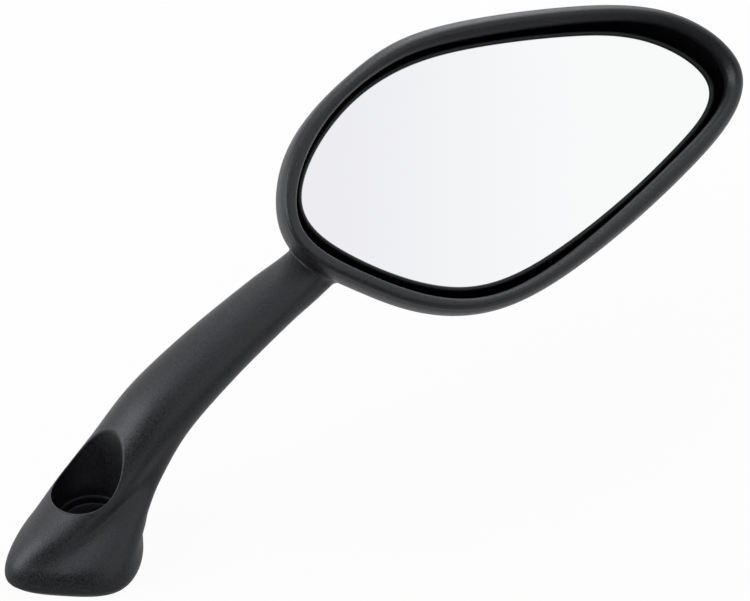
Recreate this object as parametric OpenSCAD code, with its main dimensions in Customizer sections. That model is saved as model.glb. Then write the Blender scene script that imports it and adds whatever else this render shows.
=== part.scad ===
// Fairing-mounted motorcycle mirror, left-hand foot seen with the glass facing the rider.
// Frame: origin on the axis of the fixing bolt, on the flat underside of the foot.
// +Z runs up the bolt axis, +X to the rider's right, the glass faces -Y and looks upwards.
// All lengths are millimetres and all angles are degrees.

/* [Node] */
// name of the one sub-part to draw, or all

/* [Foot and fixing] */
// thread clearance diameter of the fixing bolt's hole
bolt_hole_d = 8.5; // [6.5:0.1:12.5]
// outside diameter of the steel bush moulded into the foot
bush_d = 13; // [10:0.5:18]
// diameter of the bush's flange at the underside
bush_flange_d = 19; // [16:0.5:23]
// thickness of the bush's flange
bush_flange_t = 1.5; // [1:0.1:2.5]
// diameter of the tool pocket over the bolt
pocket_d = 26.4; // [24:0.2:30]
// height of the pocket's floor above the underside
pocket_floor_z = 6; // [5:0.5:8]
// diameter of the seat at the bottom of the pocket
seat_d = 24.4; // [22:0.2:26]
// height of the narrow ledge round the seat
ledge_z = 9; // [8:0.5:11]
// depth of the hollows in the underside of the foot
core_depth = 3; // [2:0.5:4]
// thickness of the foot's skirt at the underside, as a share of its half width
skirt_share = 0.16; // [0.12:0.01:0.22]
// thickness of the ribs in the underside
foot_rib_t = 2.4; // [1.8:0.1:3.5]

/* [Arm] */
// direction of the arm seen from above, from the +X axis
arm_heading = 39; // [30:0.5:48]
// mean half width of the foot's outline, which the outline's radii are scaled by
foot_half = 25; // [22:0.5:28]
// stretch of the arm's and foot's sections across the arm
arm_width_scale = 1; // [0.9:0.01:1.1]
// squareness of the arm's section, 2 being an ellipse
arm_square = 2.1; // [2:0.05:2.6]

/* [Head] */
// height of the head's centre above the underside of the foot
head_z = 92.5; // [85:0.5:100]
// distance of the head's centre to the right of the bolt
head_x = 152; // [140:0.5:165]
// distance of the head's centre behind the bolt
head_y = 108; // [100:0.5:116]
// angle by which the glass looks up from level
head_tilt = 44; // [30:0.5:55]
// angle by which the glass is turned to the right
head_yaw = 25.5; // [15:0.5:35]
// height of the rim's face over the middle plane of the head
rim_w = 12; // [9:0.5:15]
// depth of the back of the shell behind the middle plane of the head
dome_depth = 34; // [30:0.5:40]
// size of the rounded outer edge of the rim
rim_edge_r = 1.2; // [0.8:0.1:2]
// size of the rounded inner edge of the rim
mouth_edge_r = 2.2; // [1:0.1:3]
// thickness of the shell's side walls
wall_t = 2.4; // [2:0.1:2.8]

/* [Glass] */
// height of the glass's middle over the middle plane of the head
glass_w = 5.5; // [4.5:0.1:6.5]
// thickness of the mirror glass
glass_t = 2; // [1.8:0.1:3]
// radius of the glass's outward bulge
glass_bulge_r = 1400; // [1000:50:2000]
// thickness of the foam pad behind the glass
pad_t = 0.8; // [0.5:0.1:1.5]
// distance of the pad's edge inside the glass's edge
pad_inset = 3; // [2:0.5:6]
// width of the gap between the glass's edge and the carrier's lip
glass_gap = 0.1; // [0.05:0.05:0.3]
// thickness of the carrier's lip round the glass
lip_t = 1.3; // [1:0.1:2]
// height of the lip above the glass
lip_h = 0.9; // [0.4:0.1:1.5]
// height of the lip's wall below the glass
lip_skirt = 3.2; // [2.9:0.1:3.8]
// distance of the carrier's plate outside the glass's edge
plate_reach = 0.4; // [0.2:0.1:0.8]
// thickness of the carrier's plate
carrier_t = 2; // [1.6:0.1:3]
// height of the ribs on the back of the carrier
rib_h = 2.2; // [1.5:0.1:3]
// thickness of the ribs on the back of the carrier
rib_t = 1.8; // [1.4:0.1:2.5]

/* [Ball joint] */
// distance of the ball's centre to the right of the head's centre
pivot_u = 4; // [0:0.5:8]
// distance of the ball's centre above the head's centre
pivot_v = 1; // [-3:0.5:4]
// depth of the ball's centre behind the middle plane of the head
pivot_depth = 7; // [6.5:0.1:8]
// diameter of the ball
ball_d = 14; // [12:0.5:16]
// gap between the ball and its cup
ball_gap = 0.4; // [0.3:0.05:0.6]
// wall thickness of the cup
cup_wall = 2.6; // [2.2:0.1:3.2]
// height of the cup's mouth above the ball's centre
cup_mouth_h = 3.4; // [2.8:0.1:4]
// diameter of the ball's neck
neck_d = 8; // [6:0.5:9]
// diameter of the ball's flange
ball_flange_d = 24; // [22:0.5:28]
// thickness of the ball's flange
ball_flange_t = 1.6; // [1.4:0.1:2.5]
// diameter of the cross pin through the ball
pin_d = 3; // [2.5:0.1:3.5]
// length of the cross pin
pin_l = 17.6; // [16:0.2:18]
// running clearance on the radius between the cross pin and the ball
pin_clear = 0.05; // [0.02:0.01:0.08]
// gap on each side of the cross pin in the cup's guide slots
slot_gap = 0.35; // [0.3:0.05:0.5]
// width of the cup's two plain slots
finger_slot = 1.6; // [1.2:0.1:2.4]
// wire diameter of the spring ring round the cup
ring_wire_d = 1.5; // [1.2:0.1:2]
// width of the gap in the spring ring, as an angle
ring_gap = 40; // [30:5:60]

/* [Cup plate and screws] */
// diameter of the plate under the cup
plate_d = 42; // [38:0.5:50]
// thickness of the plate under the cup
plate_t = 3; // [2.5:0.1:4]
// diameter of the circle the plate's screws stand on
plate_pcd = 31; // [28:0.5:38]
// shank diameter of the plate's screws
screw_d = 4; // [3:0.1:5]
// length of the plate's screws under the head
screw_l = 9; // [8:0.5:10]
// room in the bosses under the tips of the plate's screws
screw_tip_gap = 0.6; // [0.3:0.1:1.5]
// head diameter of the plate's screws
screw_head_d = 7.6; // [6:0.1:9]
// outside diameter of the bosses in the shell
boss_d = 8.5; // [7.5:0.1:10]
// shank diameter of the ball flange's screws
small_screw_d = 2.2; // [1.8:0.1:2.6]
// head diameter of the ball flange's screws
small_head_d = 4; // [3.4:0.1:5]
// length of the ball flange's screws under the head
small_screw_l = 3; // [2.6:0.1:3.4]
// diameter of the circle the ball flange's screws stand on
small_pcd = 17.6; // [16.5:0.2:19]
// clearance on the radius of screws in the pieces they fix
screw_clear = 0.2; // [0.1:0.05:0.4]

/* [Hidden] */
eps = 0.01;
face_w = rim_w + 0.3;
floor_t = 3.4;
// control points of the rim's outline in the plane of the head, right and up
RIM = [[112, 2.5], [86, 39], [40, 49.5], [-22.5, 56], [-48.5, 47], [-86, 27.5],
  [-99.5, -9.5], [-75.5, -28.5], [-54.5, -45.5], [-23, -55], [19, -43.5], [66, -23.5]];
// control points of the rim's inner edge in the same plane
MOUTH = [[105, 3], [83, 34.5], [40, 43], [-12, 48], [-37.5, 46], [-73, 30],
  [-96, -4], [-73.5, -25], [-46.5, -45], [-17, -50.5], [27, -35], [64.5, -17.5]];
// control points of the glass's outline in the same plane
GLASS = [[99.5, 3.5], [72, 31.5], [39, 39], [0, 44], [-30.5, 44.5], [-62, 33.5],
  [-91, 4], [-73.5, -19], [-43, -41.5], [-13, -46], [38, -28], [66, -14.5]];
// radii of the foot's outline every 45 degrees from the arm's heading, and their mean half width
FOOT = [31, 29, 23, 22, 33.5, 24, 32.5, 29];
foot_unit = 25;
// stations of the foot and arm: top line's reach and height, bottom line's reach and height,
// half width, sideways shift, roundness of the section, depth and angle of the side valley
ARM = [
  [-33, 0, 14.2, 0, 23.6, -2.1, 0, 0, 25],
  [-34.6, 3, 15.6, 3, 25, -2.1, 0, 0, 25],
  [-32, 9.4, 15.2, 8, 23.6, -3, 0.1, 0.05, 28],
  [-24.4, 16, 15.8, 12, 20.8, -2.9, 0.4, 0.16, 40],
  [-10, 25.3, 19, 16, 18.6, -1.8, 0.85, 0.18, 60],
  [6.8, 38, 26.6, 21, 15.8, 0, 1, 0.11, 82],
  [26, 53.8, 39.5, 34.5, 14.3, 0.3, 1, 0.02, 90],
  [51, 66.5, 60, 47.5, 13, 0, 1, 0, 90],
  [78.5, 76.5, 85, 59, 11.6, 0, 1, 0, 90],
  [92, 81.4, 98.5, 63.8, 11.1, 0, 1, 0, 90],
  [98, 84.2, 105, 66, 11.8, 0, 1, 0, 90],
  [104, 88.6, 112.5, 67.4, 14, 0, 1, 0, 90],
  [110, 91.5, 119, 69, 15, 0, 1, 0, 90]
];
// spread of the side valley round the section, as an angle
valley_spread = 22;
// rings of the shell's side: offset outwards, height, extra offset low down, pull inwards at the left
SIDE = [
  [0.5, 5, 0.9, 0],
  [0.3, 2, 1, 0.1],
  [-0.2, -1, 1, 0.5],
  [-1.2, -5, 0.9, 1.3],
  [-2.9, -10, 0.7, 1.6],
  [-5.4, -15, 0.4, 1.8]
];
// rings of the shell's outside: share towards the mouth, offset outwards, size, height,
// extra offset low down, pull inwards at the left
dome_w = -dome_depth;
SHELL = concat(
  [
    [0, -rim_edge_r * 1.3, 1, face_w, 0, 0],
    [0, -rim_edge_r * 0.4, 1, rim_w, 0, 0],
    [0, 0, 1, rim_w - rim_edge_r, 0.1, 0],
    [0, 0.4, 1, rim_w - 4, 0.6, 0]
  ],
  [for (s = SIDE) [0, s[0], 1, s[1], s[2], s[3]]],
  [
    [0, -10, 1, -20.5, 0, 1.8],
    [0, -13.5, 0.96, -25, 0, 1],
    [0, -13.5, 0.79, dome_w + 5, 0, 0],
    [0, -13.5, 0.52, dome_w + 2, 0, 0],
    [0, -13.5, 0.25, dome_w + 0.4, 0, 0],
    [0, -13.5, 0.1, dome_w, 0, 0]
  ]);
// rings of the hollow inside the shell, from the rounded inner edge of the rim down
HOLLOW = concat(
  [[1, mouth_edge_r * 1.6, 1, face_w + 2, 0, 0]],
  [for (a = [0 : 30 : 90])
    [1, mouth_edge_r * (1 - sin(a)), 1, face_w - mouth_edge_r * (1 - cos(a)), 0, 0]],
  [[0.8, 0, 1, rim_w - 4.5, 0, 0]],
  [for (s = SIDE) [0, s[0] - wall_t, 1, s[1], s[2], s[3]]],
  [
    [0, -9.6 - wall_t, 1, -19.5, 0, 1.8],
    [0, -13.5, 0.87, -24, 0, 1],
    [0, -13.5, 0.72, dome_w + 7, 0, 0],
    [0, -13.5, 0.48, dome_w + floor_t + 1, 0, 0],
    [0, -13.5, 0.27, dome_w + floor_t, 0, 0]
  ]);
// direction in which the shell's side bulges most, down and to the right
LOW_SIDE = [0.45, -0.9];
head_segs = 72;
arm_segs = 40;
arm_steps = 4;
bulge_c = glass_w - glass_bulge_r;
back_w = glass_w - glass_t - pad_t - carrier_t;
cup_r = ball_d / 2 + ball_gap;
cup_out_r = cup_r + cup_wall;
plate_w = -pivot_depth - cup_out_r - 1;
bottom_w = dome_w + floor_t;
slot_w = pin_d + 2 * slot_gap;
// depth of the cup's slots below the ball's centre, and height of the spring ring over it
slot_depth = pin_d / 2 + 1.4;
ring_h = 1.8;
// heights of the screws' heads and widths of the crosses in them
screw_head_h = 2.4;
small_head_h = 1.3;
cross_w = 0.9;
small_cross_w = 0.5;

// one value of a closed uniform cubic curve at span i, share f
function closed_at(c, i, f) =
  let (n = len(c))
  (pow(1 - f, 3) * c[(i + n - 1) % n]
    + (3 * pow(f, 3) - 6 * pow(f, 2) + 4) * c[i]
    + (-3 * pow(f, 3) + 3 * pow(f, 2) + 3 * f + 1) * c[(i + 1) % n]
    + pow(f, 3) * c[(i + 2) % n]) / 6;
// the closed curve as a list of m points
function closed_curve(c, m) =
  [for (k = [0 : m - 1])
    let (t = k * len(c) / m, i = floor(t))
    closed_at(c, i, t - i)];
// outward unit normals of a closed list of points that runs anticlockwise
function normals(p) =
  [for (k = [0 : len(p) - 1])
    let (d = p[(k + 1) % len(p)] - p[(k + len(p) - 1) % len(p)])
    [d[1], -d[0]] / norm(d)];
rim_pts = closed_curve(RIM, head_segs);
mouth_pts = closed_curve(MOUTH, head_segs);
glass_pts = closed_curve(GLASS, head_segs);
// outline moved outwards by o
function grown(p, o) =
  let (q = normals(p))
  [for (k = [0 : len(p) - 1]) p[k] + o * q[k]];
// ring of the head for one row of SHELL or HOLLOW
function head_ring(r) =
  let (base = [for (k = [0 : head_segs - 1]) (1 - r[0]) * rim_pts[k] + r[0] * mouth_pts[k]],
    q = normals(base))
  [for (k = [0 : head_segs - 1])
    let (low = max(0, q[k] * LOW_SIDE),
      left = max(0, -q[k][0]),
      p = base[k] + (r[1] + r[4] * low - r[5] * pow(left, 2)) * q[k])
    [p[0] * r[2], p[1] * r[2], r[3]]];
// open curve through the stations by a cubic in each span
function station(s, i, f) =
  let (n = len(s) - 1,
    a = i == 0 ? 2 * s[0] - s[1] : s[i - 1],
    b = s[i],
    c = s[i + 1],
    d = i == n - 1 ? 2 * s[n] - s[n - 1] : s[i + 2])
  0.5 * (2 * b + (c - a) * f + (2 * a - 5 * b + 4 * c - d) * pow(f, 2)
    + (3 * b - a - 3 * c + d) * pow(f, 3));
foot_pts = closed_curve([for (k = [0 : 7]) FOOT[k] * [cos(45 * k), sin(45 * k)] / foot_unit],
  arm_segs);
// unit section at corner k: roundness m, and a valley of depth v at an angle g from the top line
function section(k, m, v, g) =
  let (a = 360 * k / arm_segs,
    r = pow(pow(abs(cos(a)), arm_square) + pow(abs(sin(a)), arm_square), -1 / arm_square),
    dip = 1 - v * exp(-pow((a - 180 - g) / valley_spread, 2)))
  dip * ((1 - m) * foot_pts[k] * foot_half / foot_unit + m * r * [cos(a), sin(a)]);
// ring of the arm for one interpolated station, along, across and up
function arm_ring(s) =
  [for (k = [0 : arm_segs - 1])
    let (q = section(k, s[6], s[7], s[8]))
    [(s[0] + s[2]) / 2 + q[0] * (s[2] - s[0]) / 2,
      s[5] + q[1] * s[4] * arm_width_scale,
      (s[1] + s[3]) / 2 + q[0] * (s[3] - s[1]) / 2]];

// solid through a list of closed rings that all have the same number of points
module skin(rings) {
  n = len(rings[0]);
  m = len(rings);
  pts = [for (r = rings, p = r) p];
  sides = [for (i = [0 : m - 2], k = [0 : n - 1])
    let (a = i * n + k, b = i * n + (k + 1) % n)
    each [[a, b + n, b], [a, a + n, b + n]]];
  first = [for (k = [0 : n - 1]) k];
  last = [for (k = [n - 1 : -1 : 0]) (m - 1) * n + k];
  polyhedron(points = pts, faces = concat([first, last], sides));
}

// puts the head's own frame in its place: x right, y up, z out of the glass
module head_place() {
  translate([head_x, head_y, head_z])
    rotate([90 - head_tilt, 0, head_yaw])
      children();
}

// puts the ball's centre at the origin of the head's frame
module pivot_place() {
  head_place()
    translate([pivot_u, pivot_v, -pivot_depth])
      children();
}

// copies on a circle of screws
module on_circle(d, n, start) {
  for (k = [0 : n - 1])
    rotate([0, 0, start + 360 * k / n])
      translate([d / 2, 0, 0])
        children();
}

// prism on the glass's outline, moved outwards by o, cut by two balls of the bulge
module bulged(o, top, bottom) {
  intersection() {
    translate([0, 0, glass_w - 20])
      linear_extrude(height = 30)
        polygon(grown(glass_pts, o));
    translate([pivot_u, pivot_v, bulge_c])
      difference() {
        sphere(r = glass_bulge_r + top, $fn = 200);
        sphere(r = glass_bulge_r - bottom, $fn = 200);
      }
  }
}

module arm_body() {
  n = len(ARM) - 1;
  rings = concat(
    [for (i = [0 : n - 1], j = [0 : arm_steps - 1]) arm_ring(station(ARM, i, j / arm_steps))],
    [arm_ring(ARM[n])]);
  rotate([0, 0, arm_heading])
    skin(rings);
}

module shell_outside() {
  head_place()
    skin([for (k = [len(SHELL) - 1 : -1 : 0]) head_ring(SHELL[k])]);
}

module shell_hollow() {
  head_place()
    skin([for (k = [len(HOLLOW) - 1 : -1 : 0]) head_ring(HOLLOW[k])]);
}

module foot_hollows() {
  difference() {
    rotate([0, 0, arm_heading])
      translate([(ARM[0][0] + ARM[0][2]) / 2, ARM[0][5], -1])
        linear_extrude(height = core_depth + 1)
          polygon([for (p = foot_pts) p * foot_half * (1 - skirt_share)]);
    translate([0, 0, -2])
      cylinder(h = core_depth + 4, d = bush_flange_d + 5, $fn = 64);
    for (a = [0 : 60 : 300])
      rotate([0, 0, arm_heading + a])
        translate([0, -foot_rib_t / 2, -2])
          cube([50, foot_rib_t, core_depth + 4]);
  }
}

module housing() {
  color([0.09, 0.09, 0.10]) {
    difference() {
      union() {
        arm_body();
        shell_outside();
      }
      shell_hollow();
      translate([0, 0, ledge_z])
        cylinder(h = 60, d = pocket_d, $fn = 96);
      translate([0, 0, pocket_floor_z])
        cylinder(h = ledge_z, d = seat_d, $fn = 96);
      translate([0, 0, -1])
        cylinder(h = pocket_floor_z + 2, d = bush_d, $fn = 64);
      translate([0, 0, -1])
        cylinder(h = bush_flange_t + 1, d = bush_flange_d, $fn = 96);
      foot_hollows();
      boss_places()
        boss_hole();
    }
    difference() {
      boss_places()
        cylinder(h = plate_w - bottom_w + 1, d = boss_d, $fn = 48);
      boss_places()
        boss_hole();
    }
  }
}

// puts a shape at the foot of each of the three bosses, 1 mm deep in the shell's floor
module boss_places() {
  head_place()
    translate([pivot_u, pivot_v, bottom_w - 1])
      on_circle(plate_pcd, 3, 90)
        children();
}

// room for a screw in its boss, from the shell's floor up
module boss_hole() {
  tip = plate_w + plate_t - screw_l - screw_tip_gap - bottom_w + 1;
  translate([0, 0, tip])
    cylinder(h = 30, d = screw_d, $fn = 48);
}

module foot_bush() {
  color([0.62, 0.63, 0.65])
    difference() {
      union() {
        cylinder(h = pocket_floor_z, d = bush_d, $fn = 64);
        cylinder(h = bush_flange_t, d = bush_flange_d, $fn = 96);
      }
      translate([0, 0, -1])
        cylinder(h = 20, d = bolt_hole_d, $fn = 64);
    }
}

module socket() {
  color([0.16, 0.16, 0.17])
    pivot_place()
      difference() {
        union() {
          rotate_extrude($fn = 96)
            intersection() {
              circle(r = cup_out_r, $fn = 96);
              translate([0, -cup_out_r])
                square([cup_out_r, cup_out_r + cup_mouth_h]);
            }
          translate([0, 0, plate_w + pivot_depth])
            cylinder(h = cup_out_r / 2, r = cup_out_r * 0.8, $fn = 96);
          translate([0, 0, plate_w + pivot_depth])
            cylinder(h = plate_t, d = plate_d, $fn = 96);
        }
        sphere(r = cup_r, $fn = 96);
        translate([-20, -slot_w / 2, -slot_depth])
          cube([40, slot_w, 20]);
        translate([-finger_slot / 2, -20, -slot_depth])
          cube([finger_slot, 40, 20]);
        translate([0, 0, ring_h])
          rotate_extrude($fn = 96)
            translate([cup_out_r, 0])
              circle(d = ring_wire_d + 0.1, $fn = 24);
        on_circle(plate_pcd, 3, 90)
          translate([0, 0, plate_w + pivot_depth - 1])
            cylinder(h = 10, d = screw_d + 2 * screw_clear, $fn = 48);
      }
}

module socket_screws() {
  color([0.55, 0.56, 0.58])
    pivot_place()
      on_circle(plate_pcd, 3, 90)
        translate([0, 0, plate_w + pivot_depth + plate_t])
          difference() {
            union() {
              cylinder(h = screw_head_h, d = screw_head_d, $fn = 48);
              translate([0, 0, -screw_l])
                cylinder(h = screw_l + eps, d = screw_d, $fn = 48);
            }
            for (a = [0, 90])
              rotate([0, 0, a])
                translate([-2.2, -cross_w / 2, screw_head_h - 1.3])
                  cube([4.4, cross_w, 3]);
          }
}

module spring_ring() {
  color([0.5, 0.5, 0.52])
    pivot_place()
      translate([0, 0, ring_h])
        rotate([0, 0, 45 + ring_gap / 2])
          rotate_extrude(angle = 360 - ring_gap, $fn = 96)
            translate([cup_out_r, 0])
              circle(d = ring_wire_d, $fn = 24);
}

module cross_pin() {
  color([0.7, 0.7, 0.72])
    pivot_place()
      rotate([0, 90, 0])
        translate([0, 0, -pin_l / 2])
          cylinder(h = pin_l, d = pin_d, $fn = 48);
}

module ball() {
  flange_top = back_w + pivot_depth;
  color([0.85, 0.85, 0.82])
    pivot_place()
      difference() {
        union() {
          sphere(d = ball_d, $fn = 96);
          cylinder(h = flange_top - ball_flange_t / 2, d = neck_d, $fn = 64);
          translate([0, 0, flange_top - ball_flange_t])
            cylinder(h = ball_flange_t, d = ball_flange_d, $fn = 96);
        }
        rotate([0, 90, 0])
          translate([0, 0, -20])
            cylinder(h = 40, d = pin_d + 2 * pin_clear, $fn = 48);
        on_circle(small_pcd, 3, 30)
          translate([0, 0, flange_top - 10])
            cylinder(h = 20, d = small_screw_d + 2 * screw_clear, $fn = 32);
      }
}

module ball_screws() {
  color([0.55, 0.56, 0.58])
    pivot_place()
      on_circle(small_pcd, 3, 30)
        translate([0, 0, back_w + pivot_depth - ball_flange_t])
          difference() {
            union() {
              translate([0, 0, -small_head_h])
                cylinder(h = small_head_h, d = small_head_d, $fn = 32);
              translate([0, 0, -eps])
                cylinder(h = small_screw_l + eps, d = small_screw_d, $fn = 32);
            }
            for (a = [0, 90])
              rotate([0, 0, a])
                translate([-1.1, -small_cross_w / 2, -small_head_h - 0.1])
                  cube([2.2, small_cross_w, 0.8]);
          }
}

module carrier() {
  color([0.12, 0.12, 0.13])
    head_place()
      difference() {
        union() {
          bulged(glass_gap + lip_t, lip_h, lip_skirt);
          bulged(plate_reach, 0, glass_t + pad_t + carrier_t);
          intersection() {
            bulged(-4, 0, glass_t + pad_t + carrier_t + rib_h);
            translate([pivot_u, pivot_v, back_w - 20])
              carrier_ribs();
          }
          translate([pivot_u, pivot_v, back_w])
            cylinder(h = 1, d = ball_flange_d + 2, $fn = 96);
        }
        bulged(glass_gap, lip_h + 5, glass_t + pad_t);
        translate([pivot_u, pivot_v, back_w - 10])
          cylinder(h = 10, d = ball_flange_d + 1, $fn = 96);
        translate([pivot_u, pivot_v, 0])
          on_circle(small_pcd, 3, 30)
            translate([0, 0, back_w - 1])
              cylinder(h = 1 + small_screw_l - ball_flange_t, d = small_screw_d, $fn = 32);
      }
}

module carrier_ribs() {
  for (a = [0 : 45 : 315])
    rotate([0, 0, a])
      translate([ball_flange_d / 2, -rib_t / 2, 0])
        cube([90, rib_t, 21]);
  difference() {
    cylinder(h = 21, d = ball_flange_d + 5, $fn = 96);
    translate([0, 0, -1])
      cylinder(h = 30, d = ball_flange_d + 1, $fn = 96);
  }
}

module pad() {
  color([0.3, 0.3, 0.3])
    head_place()
      bulged(-pad_inset, -glass_t, glass_t + pad_t);
}

module glass() {
  color([0.93, 0.94, 0.95])
    head_place()
      bulged(0, 0, glass_t);
}

housing();
foot_bush();
socket();
socket_screws();
spring_ring();
cross_pin();
ball();
ball_screws();
carrier();
pad();
glass();
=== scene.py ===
"""Fairing mirror of a motorcycle: a grained black shell and arm in one moulding, and a convex glass
in its carrier on a ball joint."""

import math

import bmesh
import bpy
import numpy as np
from bpy.props import FloatProperty, FloatVectorProperty, PointerProperty
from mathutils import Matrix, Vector


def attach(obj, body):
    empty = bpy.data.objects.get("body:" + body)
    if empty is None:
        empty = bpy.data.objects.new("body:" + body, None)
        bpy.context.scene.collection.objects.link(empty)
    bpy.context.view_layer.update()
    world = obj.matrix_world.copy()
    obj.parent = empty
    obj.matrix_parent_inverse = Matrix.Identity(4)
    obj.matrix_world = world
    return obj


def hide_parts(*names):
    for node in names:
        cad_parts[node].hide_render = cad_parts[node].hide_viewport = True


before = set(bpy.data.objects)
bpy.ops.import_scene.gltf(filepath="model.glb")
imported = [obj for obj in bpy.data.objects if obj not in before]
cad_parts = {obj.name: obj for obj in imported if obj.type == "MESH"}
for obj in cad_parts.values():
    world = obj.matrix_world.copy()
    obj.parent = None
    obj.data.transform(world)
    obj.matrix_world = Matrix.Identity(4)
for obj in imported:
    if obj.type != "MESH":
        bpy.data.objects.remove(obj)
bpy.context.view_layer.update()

bl_info = {
    "name": "Motorcycle fairing mirror",
    "version": (1, 0, 0),
    "blender": (4, 5, 0),
    "location": "3D View > Sidebar > Mirror",
    "description": "Dresses the packed mirror: shell and arm, glass, carrier, ball joint and studio",
    "category": "Object",
}

MM = 0.001

# Camera: its angle downwards, the direction back to it, the point it looks at, its sensor and its lens.
VIEW_DOWN = math.radians(38.0)
BACK = (0.0, -math.cos(VIEW_DOWN), math.sin(VIEW_DOWN))
CAMERA_TARGET = (0.1031, 0.0754, 0.0510)
CAMERA_SENSOR = 36.0
CAMERA_LENS = 128.0
# Dark room round the camera that reflections find: its direction, and the angles of its edge and core.
ROOM_AT = (-0.4, -0.84, 0.36)
ROOM_EDGE = math.radians(52.0)
ROOM_CORE = math.radians(20.0)
# Lamps in metres: their places, their width and the point that they are turned to.
KEY_AT = (-1.05, -0.25, 0.75)
REAR_AT = (0.2, 1.15, 0.95)
LAMP_WIDTH = 0.9
LAMP_AIM = (0.1, 0.07, 0.06)
# Floor: its radius and height in millimetres, the stretch along Y in metres over which reflections find it
# paler, its strengths at that stretch's ends, and the share of plain white that the camera sees.
FLOOR_RADIUS = 3000.0
FLOOR_AT = -0.3
PALE_FROM, PALE_TO = -0.12, 0.16
PALE_LOW, PALE_HIGH = 0.25, 1.0
CAMERA_WHITE = 0.95
# Stretch along X in metres over which the silvering changes its tint, a painted shade that greys the
# reflection at the glass's left end.
PAINTED_SHADE_FROM, PAINTED_SHADE_TO = 0.06, 0.19

# Head: its centre in millimetres, and its right, up and out-of-the-glass directions.
HEAD_AT = np.array([152.0, 108.0, 92.5])
HEAD_TILT = math.radians(44.0)
HEAD_YAW = math.radians(25.5)
OUT = np.array([
    math.sin(HEAD_YAW) * math.cos(HEAD_TILT),
    -math.cos(HEAD_YAW) * math.cos(HEAD_TILT),
    math.sin(HEAD_TILT),
])
RIGHT = np.array([math.cos(HEAD_YAW), math.sin(HEAD_YAW), 0.0])
UP = np.cross(OUT, RIGHT)
# Middle of the ball joint in the head's coordinates, and height of the glass's face on its axis.
PIVOT = np.array([4.0, 1.0, -7.0])
GLASS_W = 5.5

# Control points of the rim's outline, its inner edge and the glass in the head's plane.
RIM = [
    (112, 2.5), (86, 39), (40, 49.5), (-22.5, 56), (-48.5, 47), (-86, 27.5),
    (-99.5, -9.5), (-75.5, -28.5), (-54.5, -45.5), (-23, -55), (19, -43.5), (66, -23.5),
]
MOUTH = [
    (105, 3), (83, 34.5), (40, 43), (-12, 48), (-37.5, 46), (-73, 30),
    (-96, -4), (-73.5, -25), (-46.5, -45), (-17, -50.5), (27, -35), (64.5, -17.5),
]
GLASS = [
    (99.5, 3.5), (72, 31.5), (39, 39), (0, 44), (-30.5, 44.5), (-62, 33.5),
    (-91, 4), (-73.5, -19), (-43, -41.5), (-13, -46), (38, -28), (66, -14.5),
]
# Rings of the head from the middle of its back, over the rim and down inside: share towards the inner
# edge, offset outwards, size, height, extra offset low down, pull inwards at the left, fall of the
# inner edge at the right and of the outer edge at the top.
HEAD_ROWS = np.array([
    [0, -13.5, 0, -34, 0, 0, 0, 0], [0, -13.5, 0.1, -34, 0, 0, 0, 0],
    [0, -13.5, 0.25, -33.6, 0, 0, 0, 0], [0, -13.5, 0.52, -32, 0, 0, 0, 0],
    [0, -13.5, 0.79, -29, 0, 0.3, 0, 0], [0, -13.5, 0.96, -25, 0, 1, 0, 0],
    [0, -10, 1, -20.5, 0, 1.8, 0, 0], [0, -5.4, 1, -15, 0.4, 1.8, 0, 0],
    [0, -2.9, 1, -10, 0.7, 1.6, 0, 0], [0, -1.2, 1, -5, 0.9, 1.3, 0, 0],
    [0, -0.2, 1, -1, 1.2, 0.5, 0, 0], [0, 0.3, 1, 2, 1.4, 0.1, 0, 0], [0, 0.5, 1, 5, 1.4, 0, 0, 0],
    [0, 0.4, 1, 8, 1.1, 0, 0, 0.1], [0, 0.2, 1, 9.4, 0.8, 0, 0, 0.35],
    [0, 0, 1, 10.4, 0.5, 0, 0, 0.7], [0.05, 0, 1, 11.15, 0.2, 0, 0, 0.95],
    [0.12, 0, 1, 11.65, 0, 0, 0, 0.95], [0.22, 0, 1, 12.05, 0, 0, 0, 0.7],
    [0.32, 0, 1, 12.25, 0, 0, 0, 0.42], [0.4, 0, 1, 12.3, 0, 0, 0, 0.22],
    [0.5, 0, 1, 12.25, 0, 0, 0.08, 0.08], [0.62, 0, 1, 12.1, 0, 0, 0.3, 0],
    [0.73, 0, 1, 11.9, 0, 0, 0.7, 0], [0.83, 0, 1, 11.6, 0, 0, 1.2, 0],
    [0.92, 0, 1, 11, 0, 0, 1.7, 0], [0.98, 0, 1, 10.2, 0, 0, 2, 0], [1, 0, 1, 9, 0, 0, 2.1, 0],
    [0.97, 0, 1, 7, 0, 0, 1.6, 0], [0.9, 0, 1, 5.2, 0, 0, 1.1, 0], [0.75, 0, 1, 3.4, 0, 0, 0.5, 0],
    [0.45, -0.8, 1, 1.4, 0.5, 0.1, 0, 0], [0, -2.6, 1, -1, 1, 0.5, 0, 0],
    [0, -3.6, 1, -5, 0.9, 1.3, 0, 0], [0, -5.3, 1, -10, 0.7, 1.6, 0, 0],
    [0, -7.8, 1, -15, 0.4, 1.8, 0, 0], [0, -12, 1, -19.5, 0, 1.8, 0, 0],
    [0, -13.5, 0.87, -24, 0, 1, 0, 0], [0, -13.5, 0.72, -27, 0, 0, 0, 0],
    [0, -13.5, 0.48, -29.6, 0, 0, 0, 0], [0, -13.5, 0.27, -30.6, 0, 0, 0, 0],
    [0, -13.5, 0, -30.6, 0, 0, 0, 0],
], float)
# Rows between which the net is closest, over the rim, and rows of the net before, over and after it.
RIM_FROM = 13
RIM_TO = 30
SHELL_ROWS = (66, 113, 50)
# The rows of the outside's wall, which the arm runs into: from the back's edge up to the rim.
WALL_ROWS = HEAD_ROWS[6:16]
# Direction in which the wall bulges most, down and to the right.
LOW_SIDE = np.array([0.45, -0.9])
# Directions in which the rim's inner and outer edge fall off most.
INNER_FALL = np.array([0.8, 0.6])
OUTER_FALL = np.array([-0.1, 0.99])
# Share of the left term that the outer edge's fall loses.
LEFT_CRISP = 0.6

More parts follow.
